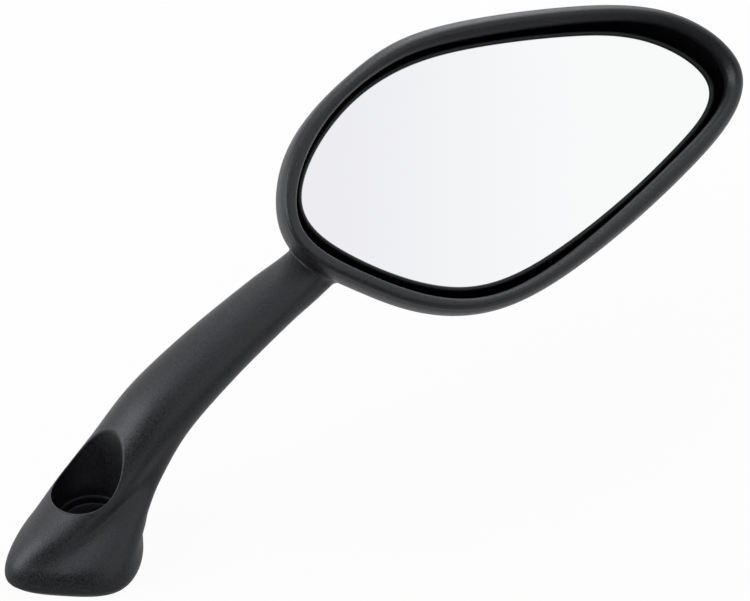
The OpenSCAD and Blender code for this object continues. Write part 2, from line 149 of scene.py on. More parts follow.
# Radii of the foot's outline every 45 degrees from the arm's heading, and their nominal value.
FOOT = np.array([29.6, 29, 23, 22, 33.5, 24, 32.5, 27.1], float)
FOOT_UNIT = 25.0
ARM_HEADING = math.radians(39.0)
# Stations of foot and arm: reach and height of the top line and of the bottom line, half width,
# sideways shift, roundness, depth and angle of the side valley.
ARM = np.array([
    [-33, 0, 15.6, 0, 24.2, -2.1, 0, 0, 25], [-34.6, 3, 15.6, 3, 25, -2, 0, 0, 25],
    [-32, 9.4, 15.8, 8, 23.3, -2.6, 0.1, 0.05, 32], [-24.4, 16, 18.2, 12, 20.7, -2.7, 0.4, 0.19, 50],
    [-10, 25.3, 20.3, 16, 18.6, -1.8, 0.85, 0.23, 68], [6.8, 38, 26.9, 21, 15.8, 0, 1, 0.14, 88],
    [26, 53.8, 39.5, 34.5, 14.3, 0.3, 1, 0.02, 90], [51, 66.5, 60, 47.5, 13, 0, 1, 0, 88],
    [78.5, 76.5, 85, 59, 11.6, 0, 1, 0.01, 85], [92, 80.2, 98.5, 63.8, 10.9, 0.1, 1, 0.05, 85],
    [98, 81.9, 104.9, 66.1, 10.6, 0.3, 1, 0.08, 85], [104, 83.6, 111.3, 68.3, 10.4, 0.6, 1, 0.1, 85],
    [110, 85.3, 117.7, 70.5, 10.4, 0.9, 1, 0.1, 85],
], float)
ARM_SQUARE = 2.1
VALLEY_SPREAD = math.radians(22.0)
# Station from which on the arm's lines may meet the shell.
NEAR_SHELL = 9.0
LAST_STATION = len(ARM) - 1.0
# Rows of the arm's net: to the first station, to the shell, to the fillet, and of the fillet.
FOOT_ROWS = 9
ARM_ROWS = 193
TAIL_ROWS = 29
FILLET_ROWS = 15
# Stations at which the gap to the shell is taken, points round the rim for it, the step that its slope is
# taken over, the fillet's steps towards its place, and how far its last row sinks into the shell.
GAP_STATIONS = 181
RIM_STEPS = 720
GAP_STEP = 0.2
FILLET_STEPS = 6
FILLET_SINK = 0.04

# Stations and half turns between which the pocket's edge lies, points round it, and how far the patch
# cut out for it goes past it, in stations and in radians.
POCKET_STATIONS = (2.0, 7.0)
POCKET_TURNS = (0.45, 1.55)
POCKET_POINTS = 360
PATCH_MARGIN = (0.12, 0.16)
# Rows of the pocket's net in the patch, on its rounded edge and down its wall.
POCKET_ROWS = (9, 9, 25)
# Search for a point of the arm over a place: side of the coarse net, Newton steps and step of the slopes.
SEARCH_NET = 140
SEARCH_STEPS = 30
SLOPE_STEP = 1e-4

# Tool pocket over the bolt, and the bush under it: radii and heights of pocket, seat, bore and flange, and
# the height inside the bore at which the nets from above and below meet.
POCKET_R = 13.2
SEAT_R = 12.2
LEDGE_Z = 9.0
FLOOR_Z = 6.0
BUSH_R = 6.5
FLANGE_R = 9.5
FLANGE_T = 1.5
BORE_MIDDLE_Z = 2.0
# Underside of the foot: depth of its hollow, share of the outline inside its skirt, wall of the boss
# round the bush, and count and half the width of the ribs.
CORE_DEPTH = 3.0
SKIRT = 0.84
BUSH_WALL = 2.5
FOOT_RIBS = 6
FOOT_RIB_HALF = 1.2

# Screw bosses in the shell: count, columns of their nets, radius of their circle round the ball joint, and
# their profile of radius and height.
BOSS_COUNT = 3
BOSS_COLS = 48
BOSS_CIRCLE = 15.5
BOSS_PROFILE = [
    (6.2, -31.2), (4.9, -30.2), (4.25, -28.6), (4.25, -18.3), (3.95, -18.0), (2.02, -18.0),
    (2.02, -24.6), (0.0, -24.6),
]
# Carrier: its depths under the glass, its reach past it, the gap between glass and lip, the share by
# which the lip is wider at the right, the ribs on its back, which end inside the glass's outline, and the
# radii of the ring there.
SEAT_DEPTH = 2.8
SKIRT_DEPTH = 3.2
PLATE_DEPTH = 4.8
PLATE_REACH = 0.4
LIP_GAP = 0.1
LIP_SPREAD = 0.5
RIB_H = 2.2
RIB_HALF = 0.9
RIB_COUNT = 8
RIB_FROM = 12.0
RIB_SLOPE = 12.0
RIB_END = 4.0
RING_FROM = 12.5
RING_TO = 14.5
RING_COLS = 96
# Columns of the nets round the head and round the arm.
HEAD_COLS = 320
ARM_COLS = 176


def smooth_closed(points, t):
    """Closed uniform cubic B-spline: at t in turns, four neighbours weighted by the cubic basis."""
    c = np.asarray(points, float)
    n = len(c)
    x = np.mod(t, 1.0) * n
    i = np.floor(x).astype(int)
    f = (x - i)[..., None]
    return ((1 - f) ** 3 * c[(i - 1) % n] + (3 * f ** 3 - 6 * f ** 2 + 4) * c[i % n]
            + (-3 * f ** 3 + 3 * f ** 2 + 3 * f + 1) * c[(i + 1) % n] + f ** 3 * c[(i + 2) % n]) / 6


def through(rows, x):
    """Catmull-Rom curve through the rows: at x, half of the cubic in the two rows on each side."""
    r = np.asarray(rows, float)
    m = len(r) - 1
    i = np.clip(np.floor(x).astype(int), 0, m - 1)
    f = (x - i)[..., None]
    b, c = r[i], r[i + 1]
    a = np.where((i == 0)[..., None], 2 * r[0] - r[1], r[np.maximum(i - 1, 0)])
    d = np.where((i == m - 1)[..., None], 2 * r[m] - r[m - 1], r[np.minimum(i + 2, m)])
    return 0.5 * (2 * b + (c - a) * f + (2 * a - 5 * b + 4 * c - d) * f ** 2
                  + (3 * b - a - 3 * c + d) * f ** 3)


def monotone(rows, x):
    """Cubic through the rows that never overshoots: slopes are harmonic means of the steps beside a row."""
    r = np.asarray(rows, float)
    step = np.diff(r, axis=0)
    both = step[:-1] * step[1:]
    slope = np.zeros_like(r)
    slope[1:-1] = np.where(both > 0, 2 * both / np.where(both > 0, step[:-1] + step[1:], 1), 0)
    slope[0] = step[0]
    slope[-1] = step[-1]
    i = np.clip(np.floor(x).astype(int), 0, len(r) - 2)
    f = (x - i)[..., None]
    return ((2 * f ** 3 - 3 * f ** 2 + 1) * r[i] + (f ** 3 - 2 * f ** 2 + f) * slope[i]
            + (3 * f ** 2 - 2 * f ** 3) * r[i + 1] + (f ** 3 - f ** 2) * slope[i + 1])


def unit(v):
    """Vectors divided by their lengths."""
    return v / np.linalg.norm(v, axis=-1, keepdims=True)


def outward(points):
    """Outward unit normals of closed anticlockwise curves: the central difference turned clockwise."""
    d = np.roll(points, -1, -2) - np.roll(points, 1, -2)
    return unit(np.stack([d[..., 1], -d[..., 0]], -1))


def with_height(xy, z):
    """Points of a plane joined with their heights."""
    return np.concatenate([xy, np.broadcast_to(np.asarray(z, float), xy.shape[:-1])[..., None]], -1)


def turned_flat(xy, angle):
    """Points of a plane turned about its origin: x cos - y sin, x sin + y cos."""
    c, s = math.cos(angle), math.sin(angle)
    return np.stack([xy[..., 0] * c - xy[..., 1] * s, xy[..., 0] * s + xy[..., 1] * c], -1)


def from_head(p):
    """Head coordinates (right, up, out of the glass) to the part's frame."""
    return HEAD_AT + p[..., :1] * RIGHT + p[..., 1:2] * UP + p[..., 2:3] * OUT


def to_head(p):
    """The part's frame to head coordinates."""
    q = p - HEAD_AT
    return np.stack([q @ RIGHT, q @ UP, q @ OUT], -1)


def side_terms(n):
    """How far normals turn to the low side, and the square of how far they turn left, neither below 0."""
    return np.maximum(n @ LOW_SIDE, 0), np.maximum(-n[..., 0], 0) ** 2


def head_rings(rows, t):
    """Each row blends the rim's and inner edge's outlines by its share, moves them along their normals by
    its offset with the low and left terms, sizes them about the middle and sets them at its height, less
    the falls of the inner edge (half a cosine of the normal's direction) and of the outer edge (a cosine,
    less part of the left term, which keeps that side crisp)."""
    q = rows[:, None, :]
    base = (1 - q[..., :1]) * smooth_closed(RIM, t) + q[..., :1] * smooth_closed(MOUTH, t)
    n = outward(base)
    low, left = side_terms(n)
    move = q[..., 1] + q[..., 4] * low - q[..., 5] * left
    outer = np.maximum(n @ OUTER_FALL, 0) - LEFT_CRISP * left
    fall = q[..., 6] * (0.5 + 0.5 * n @ INNER_FALL) + q[..., 7] * outer
    return with_height((base + move[..., None] * n) * q[..., 2:3], q[..., 3] - fall)


def foot_outline(f):
    """Outline of the foot at angles f: the closed curve through eight radii."""
    a = np.arange(8) * np.pi / 4
    return smooth_closed(FOOT[:, None] * np.stack([np.cos(a), np.sin(a)], -1), f / (2 * np.pi))


def arm_surface(s, f):
    """Point of the arm at station s and angle f: an oval between the top and bottom lines that blends, by
    roundness, from the foot's outline to a superellipse, and dips by a bell curve along the valley."""
    q = through(ARM, s)
    foot = foot_outline(f) / FOOT_UNIT
    r = (np.abs(np.cos(f)) ** ARM_SQUARE + np.abs(np.sin(f)) ** ARM_SQUARE) ** (-1 / ARM_SQUARE)
    m = q[..., 6]
    off = (np.mod(f, 2 * np.pi) - np.pi - np.radians(q[..., 8])) / VALLEY_SPREAD
    dip = 1 - q[..., 7] * np.exp(-off ** 2)
    a = dip * ((1 - m) * foot[..., 0] + m * r * np.cos(f))
    b = dip * ((1 - m) * foot[..., 1] + m * r * np.sin(f))
    reach = (q[..., 0] + q[..., 2]) / 2 + a * (q[..., 2] - q[..., 0]) / 2
    height = (q[..., 1] + q[..., 3]) / 2 + a * (q[..., 3] - q[..., 1]) / 2
    side = q[..., 5] + b * q[..., 4]
    return with_height(turned_flat(np.stack([reach, side], -1), ARM_HEADING), height)


def arm_net(s, f):
    """The arm's surface on every pair of a station and an angle."""
    return arm_surface(s[:, None] * np.ones(len(f)), np.broadcast_to(f, (len(s), len(f))))


def shell_gap(p):
    """Signed distance from the shell's wall: distance to the rim's outline less the wall's offset at that
    height, divided by the length of the wall's slope."""
    flat = to_head(p).reshape(-1, 3)
    rim = smooth_closed(RIM, np.arange(RIM_STEPS) / RIM_STEPS)
    n = outward(rim)
    near = (rim ** 2).sum(-1) - 2 * flat[:, :2] @ rim.T
    k = near.argmin(1)
    low, left = side_terms(n[k])
    apart = ((flat[:, :2] - rim[k]) * n[k]).sum(-1)

    def wall(w):
        c = [np.interp(w, WALL_ROWS[:, 3], WALL_ROWS[:, j]) for j in (1, 4, 5)]
        return c[0] + c[1] * low - c[2] * left

    lean = wall(flat[:, 2] + 0.5) - wall(flat[:, 2] - 0.5)
    return ((apart - wall(flat[:, 2])) / np.sqrt(1 + lean ** 2)).reshape(p.shape[:-1])


def strips(shape):
    """Quads of a grid of points, rows by columns, with the columns closed on themselves."""
    nu, nv = shape
    i, j = np.meshgrid(np.arange(nu - 1), np.arange(nv), indexing="ij")
    j2 = (j + 1) % nv
    return np.stack([i * nv + j, i * nv + j2, (i + 1) * nv + j2, (i + 1) * nv + j], -1).reshape(-1, 4)


class Stack:
    """Collects grids of points in millimetres into one mesh."""

    def __init__(self):
        self.points = []
        self.faces = []
        self.count = 0

    def add(self, grid, flip=False, keep=None):
        """Adds a grid, turned inside out where asked, with only the kept quads."""
        f = strips(grid.shape[:2])
        if keep is not None:
            f = f[keep.reshape(-1)]
        self.points.append(grid.reshape(-1, 3))
        self.faces.append((f[:, ::-1] if flip else f) + self.count)
        self.count += grid.shape[0] * grid.shape[1]
        return self

    def object(self, name, material, body, slot, node=None, merge=2e-6, angle=None):
        """The collected grids as one object that rides on a body, in place of a node where one is named."""
        mesh = bpy.data.meshes.new(name)
        points = (np.concatenate(self.points) * MM).tolist()
        mesh.from_pydata(points, [], np.concatenate(self.faces).tolist())
        bm = bmesh.new()
        bm.from_mesh(mesh)
        bmesh.ops.remove_doubles(bm, verts=bm.verts, dist=merge)
        bmesh.ops.dissolve_degenerate(bm, edges=bm.edges, dist=merge)
        bm.to_mesh(mesh)
        bm.free()
        mesh.polygons.foreach_set("use_smooth", np.ones(len(mesh.polygons), bool))
        if angle:
            mesh.set_sharp_from_angle(angle=math.radians(angle))
        mesh.update()
        mesh.materials.append(material)
        ob = bpy.data.objects.new(name, mesh)
        bpy.context.scene.collection.objects.link(ob)
        if body:
            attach(ob, body)
        if node:
            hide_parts(node)
        return ob


def turned(profile, count, centre=(0.0, 0.0)):
    """Grid of a profile (radius, height) turned about +Z."""
    a = np.arange(count) * 2 * np.pi / count
    p = np.asarray(profile, float)
    xy = p[:, :1, None] * np.stack([np.cos(a), np.sin(a)], -1) + np.asarray(centre)
    return with_height(xy, p[:, 1:])


def capped(grid):
    """A tube of rows closed at both ends by shrinking the end rows to their middles."""
    ends = [grid[k:k + 1].mean(1, keepdims=True).repeat(grid.shape[1], 1) for k in (0, len(grid) - 1)]
    return np.concatenate([ends[0], grid, ends[1]])


class Sock:
    """A shader value that adds Math nodes when it is used in an expression."""

    def __init__(self, nodes, socket):
        self.nodes = nodes
        self.socket = socket

    def math(self, operation, a, b):
        """A Math node of the operation on two values."""
        return self.nodes.node("ShaderNodeMath", {"operation": operation}, {0: a, 1: b})

    def __add__(self, other):
        return self.math("ADD", self, other)

    def __radd__(self, other):
        return self.math("ADD", other, self)

    def __sub__(self, other):
        return self.math("SUBTRACT", self, other)

    def __rsub__(self, other):
        return self.math("SUBTRACT", other, self)

    def __mul__(self, other):
        return self.math("MULTIPLY", self, other)

    def __rmul__(self, other):
        return self.math("MULTIPLY", other, self)

    def largest(self, other):
        """The larger of two values."""
        return self.math("MAXIMUM", self, other)


class Nodes:
    """A node tree of a material or the world, with one method that makes any node."""

    def __init__(self, owner):
        owner.use_nodes = True
        self.owner = owner
        self.tree = owner.node_tree
        self.tree.nodes.clear()

    def node(self, kind, settings=None, sockets=None, out=0):
        """Any node, from its type, its settings and the values or links of its sockets."""
        n = self.tree.nodes.new(kind)
        for name, value in (settings or {}).items():
            if name == "stops":
                for e, (at, grey) in zip(n.color_ramp.elements, value):
                    e.position = at
                    e.color = (grey, grey, grey, 1)
            else:
                setattr(n, name, value)
        for key, value in (sockets or {}).items():
            if isinstance(value, Sock):
                self.tree.links.new(value.socket, n.inputs[key])
            else:
                n.inputs[key].default_value = value
        return Sock(self, n.outputs[out]) if n.outputs else n

    def object_at(self):
        """Object coordinates."""
        return self.node("ShaderNodeTexCoord", out="Object")

    def noise(self, scale, detail=2.0, rough=0.5):
        """Noise with a scale in one over metres."""
        values = {"Vector": self.object_at(), "Scale": scale, "Detail": detail, "Roughness": rough}
        return self.node("ShaderNodeTexNoise", {}, values)

    def ramp(self, value, low, high):
        """0 below low and 1 above high."""
        return self.node("ShaderNodeValToRGB", {"stops": [(low, 0.0), (high, 1.0)]}, {0: value})

    def mix(self, factor, a, b):
        """Colour between a and b by factor."""
        return self.node("ShaderNodeMix", {"data_type": "RGBA"}, {0: factor, 6: (*a, 1), 7: (*b, 1)}, 2)

    def shades(self, factor, tint, dark, light):
        """A tint between a darker and a lighter share of itself."""
        return self.mix(factor, [c * dark for c in tint], [min(1.0, c * light) for c in tint])

    def bump(self, height, distance, strength):
        """Bump of a height, with the distance in millimetres."""
        values = {"Height": height, "Distance": distance * MM, "Strength": strength}
        return self.node("ShaderNodeBump", {}, values)

    def finished(self, **inputs):
        """The material with a Principled surface whose sockets take the inputs."""
        names = {k.replace("_", " "): v for k, v in inputs.items()}
        surface = self.node("ShaderNodeBsdfPrincipled", {}, names)
        self.node("ShaderNodeOutputMaterial", {}, {"Surface": surface})
        return self.owner

    def rays(self, *kinds):
        """1 for rays of any of the kinds, and 0 for the others."""
        found = [self.node("ShaderNodeLightPath", out="Is %s Ray" % kind) for kind in kinds]
        return found[0] if len(found) == 1 else found[0].largest(found[1])


def material_nodes(name):
    """The empty node tree of a new material."""
    return Nodes(bpy.data.materials.new(name))


def grained_black(p):
    """Spark-eroded moulding: two sizes of fine noise as bump and mottle, roughness that follows them."""
    m = material_nodes("grained_black_plastic")
    grain = m.noise(1 / p.grain, 3.0, 0.6)
    fine = m.noise(2.7 / p.grain, 2.0, 0.5)
    cloud = m.noise(35.0, 4.0, 0.55)
    mottle = m.ramp(grain * 0.7 + fine * 0.3, 0.38, 0.62)
    colour = m.shades(mottle, p.plastic, 0.3, 2.8)
    return m.finished(
        Base_Color=colour, Roughness=0.31 + 0.1 * cloud + 0.14 * mottle, Specular_IOR_Level=0.5,
        Specular_Tint=(*p.gloss, 1), Normal=m.bump(grain * 0.65 + fine * 0.35, p.grain_depth / MM, 0.7))


def plain_plastic(name, tint, rough, specular=0.5):
    """Smooth moulding: a faint cloud in colour and gloss, and a very fine bump."""
    m = material_nodes(name)
    cloud = m.noise(80.0, 3.0, 0.5)
    return m.finished(
        Base_Color=m.shades(cloud, tint, 0.8, 1.15), Roughness=rough + 0.1 * cloud,
        Specular_IOR_Level=specular,
        Normal=m.bump(m.noise(1800.0), 0.02, 0.4))


def metal(name, tint, rough):
    """Plated steel: spots of duller plating and very fine scratches."""
    m = material_nodes(name)
    spots = m.noise(420.0, 4.0, 0.6)
    return m.finished(
        Base_Color=m.shades(spots, tint, 0.86, 1.06), Metallic=1.0, Roughness=rough + 0.16 * spots,
        Normal=m.bump(m.noise(3000.0), 0.01, 0.3))


def foam(tint):
    """Foam pad: small open cells in colour and bump."""
    m = material_nodes("pad_foam")
    cells = m.node("ShaderNodeTexVoronoi", {}, {"Vector": m.object_at(), "Scale": 1400.0})
    return m.finished(
        Base_Color=m.shades(cells, tint, 0.7, 1.0), Roughness=0.9, Normal=m.bump(cells, 0.08, 0.6))


def silvered(p):
    """Front-silvered glass: a greyer tint at its left end that paints shade into the reflection there, a
    faint haze and specks of dust.
    """
    m = material_nodes("silvered_glass")
    haze = m.noise(14.0, 4.0, 0.55)
    dust = m.ramp(m.noise(900.0), 0.66, 0.82)
    # Painted shade: the reflection's tint greys from the glass's right end to its left end along X.
    x = m.node("ShaderNodeSeparateXYZ", {}, {0: m.object_at()})
    ends = {"Value": x, "From Min": PAINTED_SHADE_FROM, "From Max": PAINTED_SHADE_TO}
    along = m.node("ShaderNodeMapRange", {"interpolation_type": "SMOOTHSTEP"}, ends)
    return m.finished(
        Base_Color=m.mix(along * 0.92 + haze * 0.08, p.silver_painted_shade, p.silver), Metallic=1.0,
        Roughness=0.012 + 0.015 * haze + 0.03 * dust)


def ground_edge():
    """Ground edge and back of the glass: grey-green, with a fine ground bump."""
    m = material_nodes("glass_edge")
    fine = m.noise(1800.0)
    return m.finished(
        Base_Color=m.mix(fine, (0.30, 0.34, 0.34), (0.42, 0.47, 0.46)), Roughness=0.35 + 0.1 * fine,
        Normal=m.bump(fine, 0.02, 0.3))


class MirrorFinish(bpy.types.PropertyGroup):
    """Colours and grain of the mirror's finishes, with the painted shade at the glass's left end."""

    plastic: FloatVectorProperty(
        name="Shell plastic", description="Colour of the grained black moulding",
        subtype="COLOR", size=3, min=0, max=1, default=(0.006, 0.0062, 0.0075))
    carrier: FloatVectorProperty(
        name="Carrier plastic", description="Colour of the carrier round the glass",
        subtype="COLOR", size=3, min=0, max=1, default=(0.006, 0.0065, 0.008))
    gloss: FloatVectorProperty(
        name="Shell gloss", description="Tint of the reflections on the grained black moulding",
        subtype="COLOR", size=3, min=0, max=1, default=(0.92, 0.94, 1.0))
    silver: FloatVectorProperty(
        name="Silvering", description="Tint of the mirror's reflection",
        subtype="COLOR", size=3, min=0, max=1, default=(0.945, 0.95, 0.955))
    # Greyer silvering at the glass's left end: painted shade of a darker reflection there.
    silver_painted_shade: FloatVectorProperty(
        name="Silvering at the left", description="Tint of the reflection at the glass's narrow end",
        subtype="COLOR", size=3, min=0, max=1, default=(0.83, 0.83, 0.87))
    grain: FloatProperty(
        name="Grain size", description="Size of the moulded grain",
        subtype="DISTANCE", unit="LENGTH", precision=5, default=0.0008, min=0.0002, max=0.003)
    grain_depth: FloatProperty(
        name="Grain depth", description="Depth of the moulded grain",
        subtype="DISTANCE", unit="LENGTH", precision=5, default=0.0002, min=0, max=0.001)


class MirrorSizes(bpy.types.PropertyGroup):
    """Sizes of the details that the scene adds to the solids."""

    fillet: FloatProperty(
        name="Arm fillet", description="Radius where the arm's sides run into the shell",
        subtype="DISTANCE", unit="LENGTH", precision=5, default=0.0024, min=0.001, max=0.006)
    pocket_edge: FloatProperty(
        name="Pocket edge", description="Size of the rounded edge of the tool pocket",
        subtype="DISTANCE", unit="LENGTH", precision=5, default=0.0009, min=0.0002, max=0.002)
    lip_width: FloatProperty(
        name="Lip width", description="Width of the carrier's lip round the glass",
        subtype="DISTANCE", unit="LENGTH", precision=5, default=0.0013, min=0.0008, max=0.002)
    lip_height: FloatProperty(
        name="Lip height", description="How far the lip stands over the glass",
        subtype="DISTANCE", unit="LENGTH", precision=5, default=0.0009, min=0.0003, max=0.0015)
    glass_bulge: FloatProperty(
        name="Glass bulge radius", description="Radius of the convex glass",
        subtype="DISTANCE", unit="LENGTH", default=1.4, min=0.8, max=3)
    glass_thickness: FloatProperty(
        name="Glass thickness", description="Thickness of the glass",
        subtype="DISTANCE", unit="LENGTH", precision=5, default=0.002, min=0.0015, max=0.003)


class MirrorStudio(bpy.types.PropertyGroup):
    """Light of the studio."""

    key: FloatProperty(
        name="Key light", description="Power of the large soft light over the left shoulder",
        subtype="POWER", unit="POWER", default=9.0, min=0, max=200)
    rear: FloatProperty(
        name="Rear light", description="Power of the soft light from behind and above",
        subtype="POWER", unit="POWER", default=8.0, min=0, max=200)
    sky: FloatProperty(
        name="Sky", description="Strength of the even light from all round", default=0.5, min=0, max=2)
    room: FloatProperty(
        name="Dark room", description="Share by which reflections darken towards the camera's place",
        subtype="FACTOR", default=0.95, min=0, max=1)


def finish():
    """The finishes that the panel shows."""
    return bpy.context.scene.mirror_finish


def sizes():
    """The detail sizes in millimetres by name."""
    group = bpy.context.scene.mirror_sizes
    return {name: getattr(group, name) / MM for name in group.__annotations__}


def dress_node(name, material):
    """Gives a carried-over CAD node its procedural material."""
    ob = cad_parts[name]
    for s in ob.material_slots:
        s.material = material
    if not ob.material_slots:
        ob.data.materials.append(material)


class MIRROR_OT_shell(bpy.types.Operator):
    """Build the shell of the head from the back of the dome over the rim to its inside"""
    bl_idname = "mirror.shell"
    bl_label = "Shell"

    def execute(self, context):
        """The head's rows are smoothed with no overshoot, closest together over the rim."""
        before, over, after = SHELL_ROWS
        parts = [
            np.linspace(0, RIM_FROM, before),
            np.linspace(RIM_FROM, RIM_TO, over)[1:],
            np.linspace(RIM_TO, len(HEAD_ROWS) - 1, after)[1:],
        ]
        rows = monotone(HEAD_ROWS, np.concatenate(parts))
        grid = from_head(head_rings(rows, np.arange(HEAD_COLS) / HEAD_COLS))
        black = grained_black(finish())
        Stack().add(grid).object("head_shell", black, "housing", "housing", "housing")
        posts = Stack()
        for a in np.pi / 2 + np.arange(BOSS_COUNT) * 2 * np.pi / BOSS_COUNT:
            centre = PIVOT[:2] + BOSS_CIRCLE * np.array([np.cos(a), np.sin(a)])
            posts.add(from_head(turned(BOSS_PROFILE, BOSS_COLS, centre)))
        posts.object("shell_bosses", black, "housing", "housing", angle=35)
        return {"FINISHED"}


class MIRROR_OT_arm(bpy.types.Operator):
    """Build the arm and foot with the tool pocket and the fillet into the shell"""
    bl_idname = "mirror.arm"
    bl_label = "Arm and foot"

    def execute(self, context):
        """The arm's net up to the fillet, with a patch cut out where the pocket's own net fits in."""
        p = sizes()
        s = Stack()
        f = np.arange(ARM_COLS) * 2 * np.pi / ARM_COLS
        start = self.fillet_start(f, p["fillet"])
        rows = np.concatenate([np.linspace(0, 1, FOOT_ROWS)[:-1], np.linspace(1, NEAR_SHELL, ARM_ROWS)])
        tail = NEAR_SHELL + (start - NEAR_SHELL) * np.linspace(0, 1, TAIL_ROWS)[1:, None]
        stations = np.concatenate([rows[:, None] * np.ones(ARM_COLS), tail])
        grid = arm_surface(stations, np.broadcast_to(f, stations.shape))
        theta, ring_s, ring_f = self.rim_curve(p["pocket_edge"])
        along, across = PATCH_MARGIN
        i0 = np.searchsorted(rows, ring_s.min() - along) - 1
        i1 = np.searchsorted(rows, ring_s.max() + along)
        j0 = int((ring_f.min() - across) / (2 * np.pi) * ARM_COLS)
        j1 = int((ring_f.max() + across) / (2 * np.pi) * ARM_COLS) + 1
        keep = np.ones((len(stations) - 1, ARM_COLS), bool)
        keep[i0:i1, j0:j1] = False
        s.add(grid, keep=keep)
        loop = self.patch_loop(rows[i0:i1 + 1], f[j0:j1 + 1])
        self.pocket(s, loop, theta, ring_s, ring_f, p["pocket_edge"])
        s.add(self.fillet(f, start, p["fillet"]))
        self.underside(s)
        black = bpy.data.materials["grained_black_plastic"]
        s.object("arm_and_foot", black, "housing", "housing", "housing", merge=1e-6, angle=50)
        return {"FINISHED"}

    @staticmethod
    def radius(f, r):
        """Fillet radius: full on the arm's two sides and a quarter of it on its top and bottom lines."""
        return r * (0.25 + 0.75 * np.sin(f) ** 2)

    def fillet_start(self, f, r):
        """Station at which each line of the arm is one fillet radius from the shell."""
        s = np.linspace(NEAR_SHELL, LAST_STATION, GAP_STATIONS)
        close = shell_gap(arm_net(s, f)) < self.radius(f, r)
        if not close.any(0).all():
            raise RuntimeError("a line of the arm misses the shell")
        return s[np.maximum(close.argmax(0), 1)]

    def fillet(self, f, start, r0):
        """Quarter circle in each line's plane: moved out by r(1 - cos a) where the gap is r(1 - sin a),
        found by steps of at most 1 mm along the arm with the gap's slope over 0.2 mm."""
        r = self.radius(f, r0)
        a = np.linspace(0, np.pi / 2, FILLET_ROWS)[:, None]
        s = np.linspace(NEAR_SHELL, LAST_STATION, GAP_STATIONS)
        gap = shell_gap(arm_net(s, f))
        want = r * (1 - np.sin(a))
        want[-1] -= FILLET_SINK
        at = np.stack([np.interp(-want[:, j], -gap[:, j], s) for j in range(len(f))], 1)
        at[0] = start
        p = arm_surface(at, np.broadcast_to(f, at.shape))
        ends = arm_net(np.array([NEAR_SHELL + 1, LAST_STATION]), f).mean(1)
        axis = unit(ends[1] - ends[0])
        away = p - p.mean(1, keepdims=True)
        away = unit(away - (away @ axis)[..., None] * axis)
        p = p + away * (r * (1 - np.cos(a)))[..., None]
        for _ in range(FILLET_STEPS):
            g = shell_gap(p)
            slope = (shell_gap(p + GAP_STEP * axis) - g) / GAP_STEP
            move = np.clip((want - g) / np.minimum(slope, -0.25), -1.0, 1.0)
            move[0] = 0
            p = p + move[..., None] * axis
        return p

    @staticmethod
    def solve(theta, radius):
        """Newton steps to the station and angle whose point stands at the given place round the bolt,
        from the nearest and highest point of a coarse net, with slopes over a ten-thousandth."""
        stations = np.linspace(*POCKET_STATIONS, SEARCH_NET)
        angles = np.linspace(*POCKET_TURNS, SEARCH_NET) * np.pi
        g = arm_net(stations, angles).reshape(-1, 3)
        gs = np.repeat(stations, len(angles))
        gf = np.tile(angles, len(stations))
        want = radius * np.stack([np.cos(theta), np.sin(theta)], -1)
        d = ((g[None, :, :2] - want[:, None]) ** 2).sum(-1) - 0.02 * g[None, :, 2]
        k = d.argmin(1)
        s, f = gs[k], gf[k]
        for _ in range(SEARCH_STEPS):
            e = arm_surface(s, f)[:, :2] - want
            js = (arm_surface(s + SLOPE_STEP, f)[:, :2] - want - e) / SLOPE_STEP
            jf = (arm_surface(s, f + SLOPE_STEP)[:, :2] - want - e) / SLOPE_STEP
            det = js[:, 0] * jf[:, 1] - js[:, 1] * jf[:, 0]
            det = np.where(np.abs(det) < 1e-3, 1e-3, det)
            s = s - np.clip((e[:, 0] * jf[:, 1] - e[:, 1] * jf[:, 0]) / det, -0.2, 0.2)
            f = f - np.clip((js[:, 0] * e[:, 1] - js[:, 1] * e[:, 0]) / det, -0.2, 0.2)
        if np.abs(e).max() > 0.01:
            raise RuntimeError("the tool pocket's edge leaves the arm")
        return s, f

    def rim_curve(self, edge):
        """The curve on the arm's surface where the pocket's rounded edge begins."""
        theta = np.linspace(0, 2 * np.pi, POCKET_POINTS + 1)[:-1]
        s, f = self.solve(theta, POCKET_R + edge)
        return theta, s, f

    @staticmethod
    def patch_loop(s, f):
        """Stations and angles once round the edge of the patch that was cut from the arm's net."""
        n, m = len(s) - 1, len(f) - 1
        round_s = np.concatenate([s[:-1], np.full(m, s[-1]), s[:0:-1], np.full(m, s[0])])
        round_f = np.concatenate([np.full(n, f[0]), f[:-1], np.full(n, f[-1]), f[:0:-1]])
        return round_s, round_f

    def pocket(self, st, loop, theta, ring_s, ring_f, edge):
        """Rows from the patch's edge to the rounded edge, then down the wall to ledge, seat and floor."""
        loop_s, loop_f = loop
        cs, cf = (ring_s.min() + ring_s.max()) / 2, (ring_f.min() + ring_f.max()) / 2
        hs, hf = np.ptp(ring_s) / 2, np.ptp(ring_f) / 2
        ring_a = np.unwrap(np.arctan2((ring_f - cf) / hf, (ring_s - cs) / hs))
        loop_a = np.arctan2((loop_f - cf) / hf, (loop_s - cs) / hs)
        turn = np.sign(ring_a[-1] - ring_a[0])
        wide_a = np.concatenate([ring_a - 2 * np.pi * turn, ring_a, ring_a + 2 * np.pi * turn])
        wide_t = np.concatenate([theta - 2 * np.pi, theta, theta + 2 * np.pi])
        order = np.argsort(wide_a)
        th = np.interp(loop_a, wide_a[order], wide_t[order])
        round_xy = np.stack([np.cos(th), np.sin(th)], -1)
        rs, rf = self.solve(th, POCKET_R + edge)
        patch_rows, edge_rows, wall_rows = POCKET_ROWS
        k = np.linspace(0, 1, patch_rows)[:, None]
        outer = arm_surface(loop_s + (rs - loop_s) * k, loop_f + (rf - loop_f) * k)
        corner = arm_surface(*self.solve(th, POCKET_R))
        corner[:, :2] = POCKET_R * round_xy
        low = corner - np.array([0, 0, 1.3 * edge])
        u = np.linspace(0, 1, edge_rows)[1:, None, None]
        bend = (1 - u) ** 2 * outer[-1] + 2 * u * (1 - u) * corner + u ** 2 * low
        down = np.linspace(0, 1, wall_rows)[1:, None]
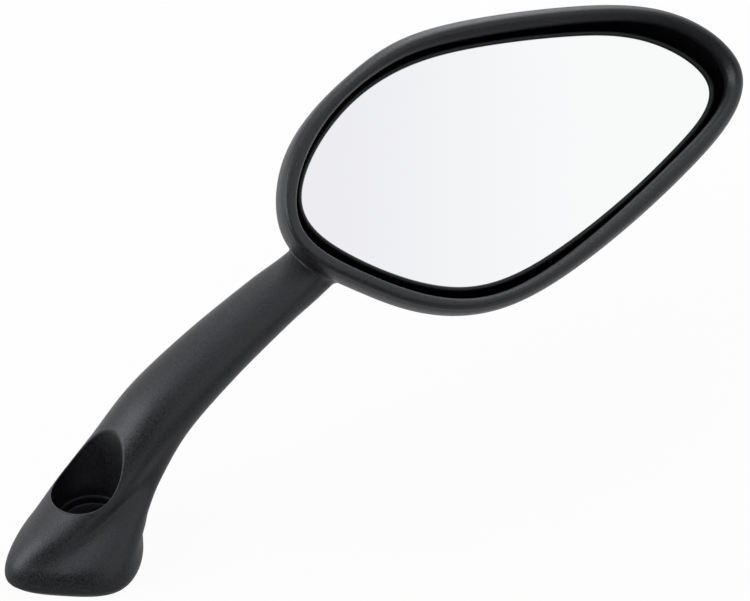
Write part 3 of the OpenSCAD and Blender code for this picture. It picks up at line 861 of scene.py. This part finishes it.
        z = low[:, 2] + (LEDGE_Z + 0.4 - low[:, 2]) * down
        wall = with_height(np.broadcast_to(POCKET_R * round_xy, z.shape + (2,)), z)
        steps = [
            (POCKET_R - 0.12, LEDGE_Z + 0.12), (POCKET_R - 0.4, LEDGE_Z), (SEAT_R + 0.35, LEDGE_Z),
            (SEAT_R + 0.08, LEDGE_Z - 0.1), (SEAT_R, LEDGE_Z - 0.4), (SEAT_R, FLOOR_Z + 0.5),
            (SEAT_R - 0.15, FLOOR_Z + 0.15), (SEAT_R - 0.5, FLOOR_Z), (9.0, FLOOR_Z), (BUSH_R, FLOOR_Z),
            (BUSH_R, BORE_MIDDLE_Z),
        ]
        foot = np.stack([with_height(r * round_xy, h) for r, h in steps])
        st.add(np.concatenate([outer, bend, wall, foot]), flip=turn < 0)

    @staticmethod
    def underside(st):
        """Flat rim of the foot, its shallow hollow, the boss round the bush and the ribs between, which
        reach a little into boss, skirt and hollow."""
        f = np.arange(ARM_COLS) * 2 * np.pi / ARM_COLS
        edge = arm_surface(np.zeros(ARM_COLS), f)[:, :2]
        middle = np.array([(ARM[0, 0] + ARM[0, 2]) / 2, ARM[0, 5]])
        inner = turned_flat(foot_outline(f) * SKIRT + middle, ARM_HEADING)
        spoke = unit(inner)
        boss, hole, bore = (FLANGE_R + BUSH_WALL) * spoke, FLANGE_R * spoke, BUSH_R * spoke
        rows = [
            (edge, 0.0), (inner, 0.0), (inner, CORE_DEPTH), (boss, CORE_DEPTH), (boss, 0.0), (hole, 0.0),
            (hole, FLANGE_T), (bore, FLANGE_T), (bore, BORE_MIDDLE_Z),
        ]
        st.add(np.stack([with_height(xy, z) for xy, z in rows]), flip=True)
        for a in np.arange(FOOT_RIBS) * 2 * np.pi / FOOT_RIBS:
            ray = turned_flat(np.array([1.0, 0.0]), ARM_HEADING + a)
            far = np.linalg.norm(inner[(spoke @ ray).argmax()]) + 0.2
            near = FLANGE_R + BUSH_WALL - 0.1
            half = FOOT_RIB_HALF
            ring = np.array([[near, -half], [far, -half], [far, half], [near, half]])
            ring = turned_flat(ring, ARM_HEADING + a)
            st.add(capped(np.stack([with_height(ring, 0.05), with_height(ring, CORE_DEPTH + 0.05)])))


def bulged(xy, height, p):
    """Height over the ball that the glass's face lies on: the ball's height at xy plus the given height."""
    r2 = ((xy - PIVOT[:2]) ** 2).sum(-1)
    return GLASS_W + np.sqrt(p["glass_bulge"] ** 2 - r2) - p["glass_bulge"] + height


def on_bulge(rows, p):
    """Rows of (points, height over the glass's face) as a grid in the part's frame."""
    return from_head(np.stack([with_height(xy, bulged(xy, h, p)) for xy, h in rows]))


def towards_middle(outline, shares, height):
    """Rows that shrink an outline to the head's pivot by each share."""
    return [(PIVOT[:2] + (outline - PIVOT[:2]) * k, height) for k in shares]


def glass_outline():
    """The glass's outline and its outward normals."""
    out = smooth_closed(GLASS, np.arange(HEAD_COLS) / HEAD_COLS)
    return out, outward(out)


class MIRROR_OT_glass(bpy.types.Operator):
    """Build the convex mirror glass with its ground edge"""
    bl_idname = "mirror.glass"
    bl_label = "Glass"

    def execute(self, context):
        """Rows shrink the outline to its middle; every point stands on a ball of the bulge's radius."""
        p = sizes()
        out, n = glass_outline()
        t = p["glass_thickness"]
        top = towards_middle(out - 0.35 * n, np.linspace(0, 1, 24), 0.0)
        edge = [(out - 0.12 * n, -0.08), (out, -0.3), (out, 0.2 - t), (out - 0.2 * n, -t)]
        back = towards_middle(out - 0.4 * n, np.linspace(1, 0, 12), -t)
        front = Stack().add(on_bulge(top, p), flip=True)
        rest = Stack().add(on_bulge([top[-1]] + edge + back, p), flip=True)
        front.object("mirror_glass", silvered(finish()), "mirror", "glass", "glass")
        rest.object("glass_edge", ground_edge(), "mirror", "glass", "glass", angle=40)
        return {"FINISHED"}


class MIRROR_OT_carrier(bpy.types.Operator):
    """Build the carrier: lip round the glass, plate behind it and ribs on its back"""
    bl_idname = "mirror.carrier"
    bl_label = "Carrier"

    def execute(self, context):
        """The lip's profile of offset and height is carried round the glass's outline, up to 1.5 times as
        wide at the right; the ribs stand behind."""
        p = sizes()
        out, n = glass_outline()
        n = n * (1 + LIP_SPREAD * np.maximum(n[:, :1], 0) ** 2)
        h = p["lip_height"]
        near = LIP_GAP
        far = near + p["lip_width"]
        profile = [
            (near, -SEAT_DEPTH), (near, -0.4), (near, h - 0.45), (near + 0.1, h - 0.15), (near + 0.35, h),
            (far - 0.55, h), (far - 0.2, h - 0.15), (far, h - 0.5), (far, -1.5), (far, 0.3 - SKIRT_DEPTH),
            (far - 0.3, -SKIRT_DEPTH), (PLATE_REACH, -SKIRT_DEPTH), (PLATE_REACH, 0.3 - PLATE_DEPTH),
            (PLATE_REACH - 0.3, -PLATE_DEPTH),
        ]
        rows = towards_middle(out + near * n, np.linspace(0, 1, 14), -SEAT_DEPTH)
        rows += [(out + o * n, b) for o, b in profile[1:]]
        rows += towards_middle(out, np.linspace(0.98, 0, 20), -PLATE_DEPTH)
        s = Stack().add(on_bulge(rows, p), flip=True)
        self.ribs(s, out - RIB_END * n, p)
        low, high = GLASS_W - PLATE_DEPTH - RIB_H, GLASS_W - PLATE_DEPTH - 0.1
        ring = [
            (RING_FROM, high), (RING_FROM, low), (RING_FROM + 0.2, low - 0.2),
            (RING_TO - 0.2, low - 0.2), (RING_TO, low), (RING_TO, high),
        ]
        s.add(from_head(turned(ring, RING_COLS, PIVOT[:2])), flip=True)
        satin = plain_plastic("satin_black_plastic", finish().carrier, 0.45, 0.3)
        s.object("glass_carrier", satin, "mirror", "carrier", "carrier", angle=40)
        return {"FINISHED"}

    @staticmethod
    def ribs(st, inner, p):
        """Ribs from the ball's seat outwards, sloping up to the plate at their ends."""
        spoke = unit(inner - PIVOT[:2])
        for a in np.arange(RIB_COUNT) * 2 * np.pi / RIB_COUNT:
            ray = np.array([math.cos(a), math.sin(a)])
            side = np.array([-ray[1], ray[0]]) * RIB_HALF
            reach = np.linalg.norm((inner - PIVOT[:2])[(spoke @ ray).argmax()])
            u = np.linspace(RIB_FROM, reach, 24)
            xy = PIVOT[:2] + u[:, None] * ray
            foot = bulged(xy, 0.2 - PLATE_DEPTH, p)
            rise = (RIB_H - 0.1) * np.minimum(1.0, (reach - u) / RIB_SLOPE)
            top = bulged(xy, 0.1 - PLATE_DEPTH - rise, p)
            ring = [(xy - side, foot), (xy - side, top), (xy + side, top), (xy + side, foot)]
            st.add(from_head(capped(np.stack([with_height(q, z) for q, z in ring], 1))), flip=True)


class MIRROR_OT_joint(bpy.types.Operator):
    """Give the ball joint, its screws, the pad and the foot's bush their finishes"""
    bl_idname = "mirror.joint"
    bl_label = "Ball joint and fixings"

    def execute(self, context):
        zinc = metal("zinc_plate", (0.62, 0.63, 0.65), 0.28)
        spring = metal("spring_steel", (0.46, 0.46, 0.47), 0.3)
        finishes = {
            "foot_bush": zinc, "socket_screws": zinc, "ball_screws": zinc,
            "spring_ring": spring, "cross_pin": spring,
            "socket": plain_plastic("black_acetal", (0.05, 0.05, 0.055), 0.38),
            "ball": plain_plastic("natural_acetal", (0.78, 0.77, 0.72), 0.35),
            "pad": foam((0.09, 0.09, 0.09)),
        }
        for name, material in finishes.items():
            dress_node(name, material)
        return {"FINISHED"}


class MIRROR_OT_studio(bpy.types.Operator):
    """Set up floor, backdrop, soft lights and the camera at the photograph's angle"""
    bl_idname = "mirror.studio"
    bl_label = "Studio"

    def execute(self, context):
        p = context.scene.mirror_studio
        self.floor()
        self.lights(p)
        self.world(p)
        self.camera()
        context.scene.view_settings.view_transform = "Standard"
        return {"FINISHED"}

    @staticmethod
    def floor():
        """A wide pale plane under the foot; the camera sees it almost white, with the shadow kept, and
        reflections find it paler behind the mirror than in front."""
        m = material_nodes("pale_floor")
        across = m.node("ShaderNodeSeparateXYZ", {}, {0: m.object_at()}, "Y")
        span = {
            "Value": across, "From Min": PALE_FROM, "From Max": PALE_TO,
            "To Min": PALE_LOW, "To Max": PALE_HIGH,
        }
        pale = m.node("ShaderNodeMapRange", {"interpolation_type": "SMOOTHSTEP"}, span)
        glare = m.rays("Glossy", "Transmission")
        grey = m.mix(m.noise(3.0), (0.8,) * 3, (0.83,) * 3)
        diffuse = m.node("ShaderNodeBsdfDiffuse", {}, {"Color": grey})
        shade = m.mix(1 - glare * (1 - pale), (0.0,) * 3, (1.0,) * 3)
        white = m.node("ShaderNodeEmission", {}, {"Color": shade, "Strength": 1.0})
        factor = (m.rays("Camera") * CAMERA_WHITE).largest(glare)
        both = m.node("ShaderNodeMixShader", {}, {0: factor, 1: diffuse, 2: white})
        m.node("ShaderNodeOutputMaterial", {}, {"Surface": both})
        plane = turned([(0.0, FLOOR_AT), (FLOOR_RADIUS, FLOOR_AT)], 64)
        Stack().add(plane, flip=True).object("studio_floor", m.owner, None, None)

    @staticmethod
    def lights(p):
        """Two soft discs turned to the object: over the left shoulder, and behind and above."""
        aim = Vector(LAMP_AIM)
        for name, at, power in (("key_light", KEY_AT, p.key), ("rear_light", REAR_AT, p.rear)):
            light = bpy.data.lights.new(name, "AREA")
            light.shape = "DISK"
            light.size = LAMP_WIDTH
            light.energy = power
            ob = bpy.data.objects.new(name, light)
            ob.location = at
            ob.rotation_euler = (Vector(at) - aim).to_track_quat("Z", "Y").to_euler()
            bpy.context.scene.collection.objects.link(ob)

    @staticmethod
    def world(p):
        """Even light from all round; camera, glossy and transmission rays see a white sky of strength 1,
        which only reflections find darker towards the place where the photograph was taken from."""
        world = bpy.data.worlds.new("studio")
        bpy.context.scene.world = world
        w = Nodes(world)
        way = w.node("ShaderNodeTexCoord", out="Generated")
        dot = {"operation": "DOT_PRODUCT"}
        towards = w.node("ShaderNodeVectorMath", dot, {0: way, 1: ROOM_AT}, "Value")
        span = {"Value": towards, "From Min": math.cos(ROOM_EDGE), "From Max": math.cos(ROOM_CORE)}
        room = w.node("ShaderNodeMapRange", {"interpolation_type": "SMOOTHSTEP"}, span)
        glare = w.rays("Glossy", "Transmission")
        strength = 1 - p.room * room * glare
        sky = w.node("ShaderNodeBackground", {}, {"Color": (1, 1, 1, 1), "Strength": p.sky})
        white = w.node("ShaderNodeBackground", {}, {"Color": (1, 1, 1, 1), "Strength": strength})
        both = w.node("ShaderNodeMixShader", {}, {0: w.rays("Camera").largest(glare), 1: sky, 2: white})
        w.node("ShaderNodeOutputWorld", {}, {"Surface": both})

    @staticmethod
    def camera():
        """Looks down 38 degrees along +Y from one metre, framed for a picture of 750 by 601."""
        back = Vector(BACK)
        target = Vector(CAMERA_TARGET)
        cam = bpy.data.cameras.new("photo_camera")
        cam.sensor_width = CAMERA_SENSOR
        cam.lens = CAMERA_LENS
        cam.clip_start = 0.05
        cam.clip_end = 20.0
        ob = bpy.data.objects.new("photo_camera", cam)
        ob.location = target + back
        ob.rotation_euler = back.to_track_quat("Z", "Y").to_euler()
        bpy.context.scene.collection.objects.link(ob)
        bpy.context.scene.camera = ob


class MIRROR_PT_panel(bpy.types.Panel):
    """Lists the mirror's pieces and settings"""
    bl_idname = "MIRROR_PT_panel"
    bl_label = "Mirror"
    bl_space_type = "VIEW_3D"
    bl_region_type = "UI"
    bl_category = "Mirror"

    def draw(self, context):
        for holder in GROUPS:
            group = getattr(context.scene, holder)
            for name in group.__annotations__:
                self.layout.prop(group, name)
        for c in OPERATORS:
            self.layout.operator(c.bl_idname)


OPERATORS = (
    MIRROR_OT_shell, MIRROR_OT_arm, MIRROR_OT_glass, MIRROR_OT_carrier, MIRROR_OT_joint, MIRROR_OT_studio)
GROUPS = {"mirror_finish": MirrorFinish, "mirror_sizes": MirrorSizes, "mirror_studio": MirrorStudio}
CLASSES = (*GROUPS.values(), *OPERATORS, MIRROR_PT_panel)


def register():
    for c in CLASSES:
        bpy.utils.register_class(c)
    for name, group in GROUPS.items():
        setattr(bpy.types.Scene, name, PointerProperty(type=group))


def unregister():
    for name in GROUPS:
        delattr(bpy.types.Scene, name)
    for c in reversed(CLASSES):
        bpy.utils.unregister_class(c)


def main():
    """Builds the pieces and the studio in order."""
    register()
    bpy.ops.mirror.shell()
    bpy.ops.mirror.arm()
    bpy.ops.mirror.glass()
    bpy.ops.mirror.carrier()
    bpy.ops.mirror.joint()
    bpy.ops.mirror.studio()


if __name__ == "__main__":
    main()
